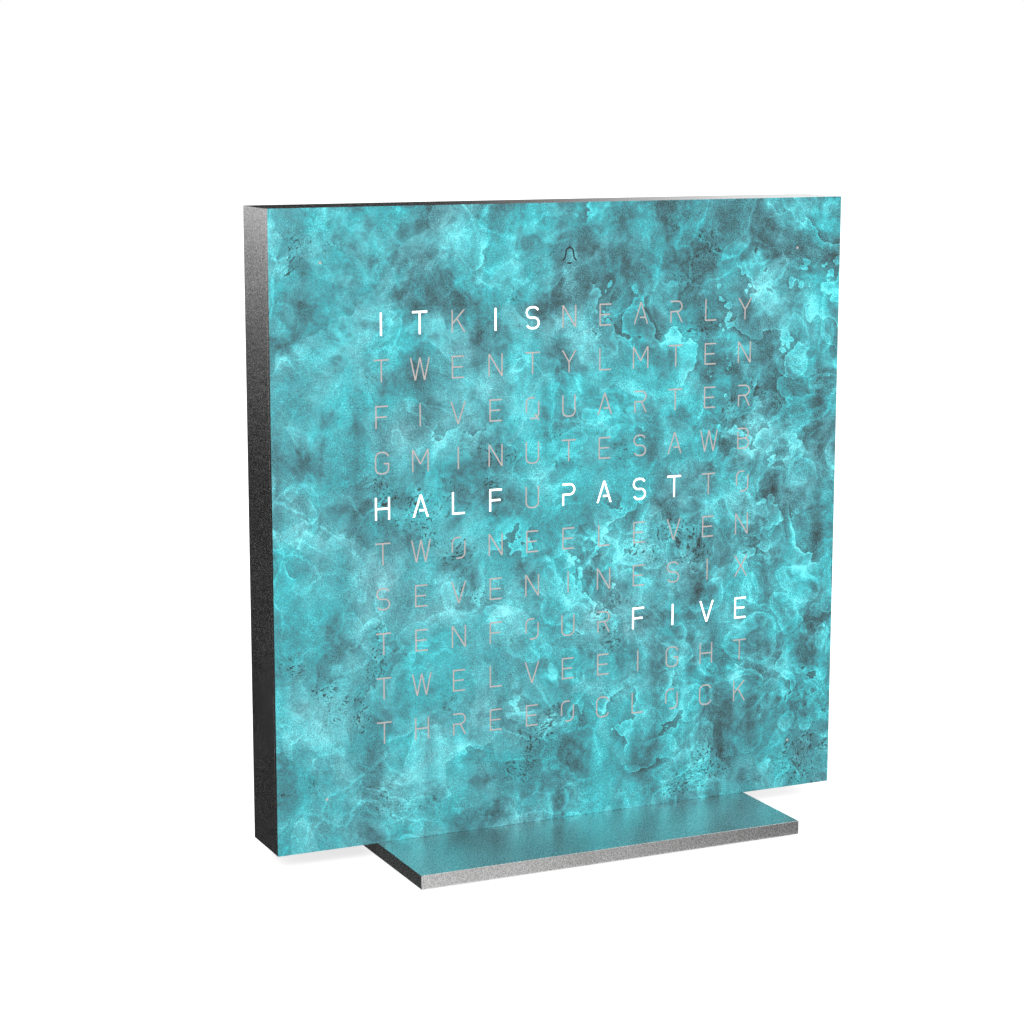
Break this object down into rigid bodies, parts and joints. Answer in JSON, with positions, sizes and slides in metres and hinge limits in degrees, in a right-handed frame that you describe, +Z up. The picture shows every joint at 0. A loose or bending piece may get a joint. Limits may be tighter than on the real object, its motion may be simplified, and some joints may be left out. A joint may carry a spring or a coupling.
{
  "type": "word clock",
  "caption": "Desk word clock: square flat steel case with a turquoise patina cover over a back-lit letter dial, standing on a low steel base.",
  "frame": {"origin": "on the table, under the middle of the clock's overall box", "axes": "+X to the right of someone who reads the dial, +Y from the front cover to the rear panel, +Z up"},
  "size_m": [0.135, 0.063, 0.1385],
  "materials": {
    "patina_steel": "steel sheet with a mottled turquoise patina, satin lacquer over fine grain",
    "case_steel": "fine bead-blasted steel",
    "base_steel": "satin steel, soft mirror on top, grained edges",
    "panel_steel": "fine black powder coat",
    "screw_steel": "zinc-plated steel",
    "black_screw": "black oxide",
    "pad_rubber": "matt rubber",
    "grid_plastic": "matt white moulding",
    "opal_plastic": "opal diffusing sheet",
    "magnet_plating": "nickel plating",
    "board_laminate": "dark green solder mask",
    "chip_plastic": "moulded package",
    "led_package": "white package with a pale phosphor",
    "can_metal": "drawn can",
    "film_plastic": "thin insulating film",
    "spring_alloy": "spring strip",
    "key_plastic": "fine-textured moulding",
    "socket_metal": "bright nickel",
    "socket_plastic": "moulded insulator"
  },
  "bodies": {
    "clock": {"base_plate": "base_steel", "base_pads": "pad_rubber", "base_screws": "screw_steel", "tapped_bar": "screw_steel", "case": "case_steel", "rear_panel": "panel_steel", "case_screws": "black_screw", "insulating_film": "film_plastic", "light_grid": "grid_plastic", "diffuser": "opal_plastic", "spot_windows": "opal_plastic", "cover_magnets": "magnet_plating", "led_board": "board_laminate", "leds": "led_package", "controller": "chip_plastic", "led_drivers": "chip_plastic", "capacitors": "can_metal", "crystal": "can_metal", "cell_holder": "chip_plastic", "backup_cell": "can_metal", "sounder": "chip_plastic", "touch_spring": "spring_alloy", "key_switches": "chip_plastic", "usb_shell": "socket_metal", "usb_tongue": "socket_plastic"},
    "cover": {"front_cover": "patina_steel", "cover_pins": "screw_steel"},
    "left_key": {"key_left": "key_plastic", "plunger_left": "chip_plastic"},
    "right_key": {"key_right": "key_plastic", "plunger_right": "chip_plastic"}
  },
  "joints": [
    {"name": "cover_pull", "type": "slide", "parent": "clock", "child": "cover", "axis": [0, -1, 0], "range_m": [0, 0.04]},
    {"name": "left_key_press", "type": "slide", "parent": "clock", "child": "left_key", "axis": [0, -1, 0], "range_m": [0, 0.0005], "stiffness_N_per_m": 1500},
    {"name": "right_key_press", "type": "slide", "parent": "clock", "child": "right_key", "axis": [0, -1, 0], "range_m": [0, 0.0005], "stiffness_N_per_m": 1500}
  ]
}
